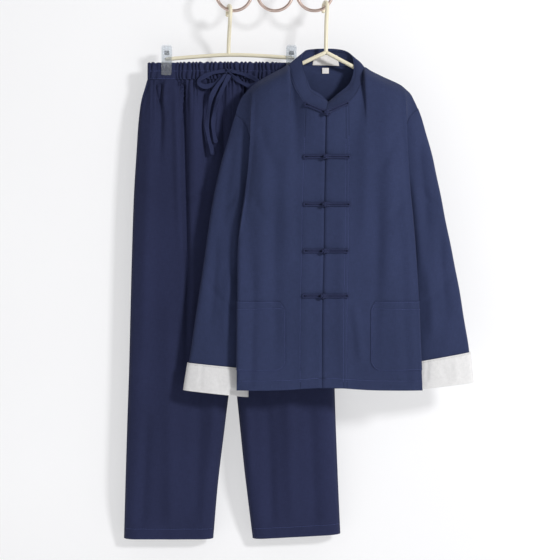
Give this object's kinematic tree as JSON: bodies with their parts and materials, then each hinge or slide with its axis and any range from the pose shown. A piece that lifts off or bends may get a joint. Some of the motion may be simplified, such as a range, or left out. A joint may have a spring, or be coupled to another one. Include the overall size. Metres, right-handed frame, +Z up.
{
  "type": "tai chi uniform (jacket and trousers) on two hangers and a ring rail",
  "caption": "Navy stand-collar jacket with frog closures and white cuffs, and drawstring trousers, hung flat on two hangers.",
  "frame": {"origin": "inside of the top of the middle ring, where a wall peg holds the rail", "axes": "+X to the viewer's right, -Y towards the viewer, +Z up"},
  "size_m": [0.7404, 0.144, 1.201],
  "materials": {
    "jacket_cloth": "matt woven, navy",
    "trouser_cloth": "matt woven, navy",
    "cuff_cloth": "matt woven, white",
    "cord_cloth": "matt, navy",
    "hanger_plastic": "satin moulded, cream",
    "rail_metal": "satin plated",
    "clear_plastic": "clear glossy",
    "spring_steel": "satin",
    "tape_cloth": "matt white, bare"
  },
  "bodies": {
    "root": {"clip_back_left": "clear_plastic", "clip_back_right": "clear_plastic", "clip_front_left": "clear_plastic", "clip_front_right": "clear_plastic", "clip_spring_left": "spring_steel", "clip_spring_right": "spring_steel", "collar_tape": "tape_cloth", "drawstring_bow": "cord_cloth", "drawstring_end_long": "cord_cloth", "drawstring_end_short": "cord_cloth", "frog_button_chest": "cord_cloth", "frog_button_collar": "cord_cloth", "frog_button_lower": "cord_cloth", "frog_button_middle": "cord_cloth", "frog_button_waist": "cord_cloth", "frog_loop_chest": "cord_cloth", "frog_loop_collar": "cord_cloth", "frog_loop_lower": "cord_cloth", "frog_loop_middle": "cord_cloth", "frog_loop_waist": "cord_cloth", "jacket_back": "jacket_cloth", "jacket_collar": "jacket_cloth", "jacket_cuff_left": "cuff_cloth", "jacket_cuff_right": "cuff_cloth", "jacket_front_left": "jacket_cloth", "jacket_front_right": "jacket_cloth", "jacket_hanger": "hanger_plastic", "jacket_pocket_left": "jacket_cloth", "jacket_pocket_right": "jacket_cloth", "jacket_sleeve_left": "jacket_cloth", "jacket_sleeve_right": "jacket_cloth", "ring_rail": "rail_metal", "size_tag": "tape_cloth", "trouser_hanger": "hanger_plastic", "trousers_back_left": "trouser_cloth", "trousers_back_right": "trouser_cloth", "trousers_front_left": "trouser_cloth", "trousers_front_right": "trouser_cloth", "waistband_back": "trouser_cloth", "waistband_front": "trouser_cloth"}
  },
  "joints": []
}
